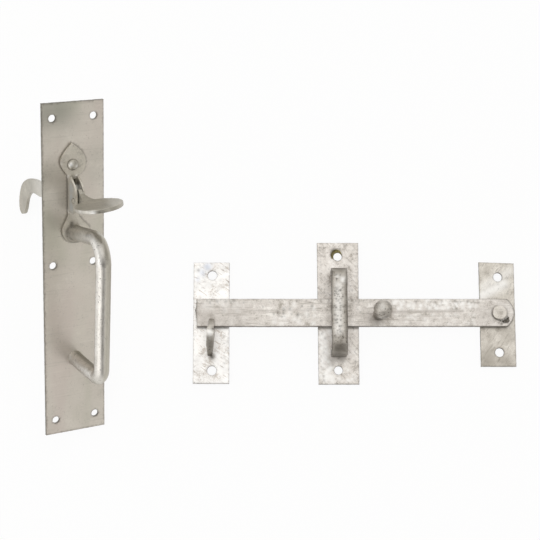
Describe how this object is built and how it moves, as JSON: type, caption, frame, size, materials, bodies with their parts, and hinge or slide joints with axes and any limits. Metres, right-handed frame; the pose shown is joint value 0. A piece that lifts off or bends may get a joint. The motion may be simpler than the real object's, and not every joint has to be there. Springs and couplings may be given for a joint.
{
  "type": "suffolk latch",
  "caption": "Galvanised thumb latch for a ledged door or gate: tall handle plate with bow grip and thumb lever, and a pivoted bar with knob, staple and hooked catch.",
  "frame": {"origin": "middle of the staple plate's back face", "axes": "+X along the bar from the catch to the pivot, +Y upwards on the door, +Z off the door towards the knob"},
  "size_m": [0.4531, 0.2742, 0.1755],
  "materials": {
    "handle_plate_zinc": "hot-dip galvanised, weathered matt to satin",
    "handle_forging_zinc": "hot-dip galvanised, weathered matt to satin",
    "grip_zinc": "hot-dip galvanised, weathered matt to satin",
    "bar_plate_zinc": "hot-dip galvanised, weathered matt to satin",
    "bar_zinc": "hot-dip galvanised, weathered matt to satin",
    "bar_forging_zinc": "hot-dip galvanised, weathered matt to satin"
  },
  "bodies": {
    "ironwork": {"catch_plate": "bar_plate_zinc", "catch_hook": "bar_forging_zinc", "staple_plate": "bar_plate_zinc", "staple": "bar_forging_zinc", "pivot_plate": "bar_plate_zinc", "pivot_rivet": "bar_forging_zinc", "handle_plate": "handle_plate_zinc", "leaf_bracket": "handle_forging_zinc", "leaf_rivet": "handle_forging_zinc", "lever_pin": "handle_forging_zinc", "grip_handle": "grip_zinc"},
    "bar": {"latch_bar": "bar_zinc", "bar_knob": "bar_forging_zinc"},
    "lever": {"thumb_lever": "handle_forging_zinc"}
  },
  "joints": [
    {"name": "bar_lift", "type": "hinge", "parent": "ironwork", "child": "bar", "pos_m": [0.1452, -0.0004, 0.0063], "axis": [0, 0, -1], "range_deg": [0, 7.5]},
    {"name": "lever_press", "type": "hinge", "parent": "ironwork", "child": "lever", "pos_m": [-0.22272, 0.07717, 0.12539], "axis": [0.87, 0.2052, -0.4484], "range_deg": [0, 20]}
  ]
}
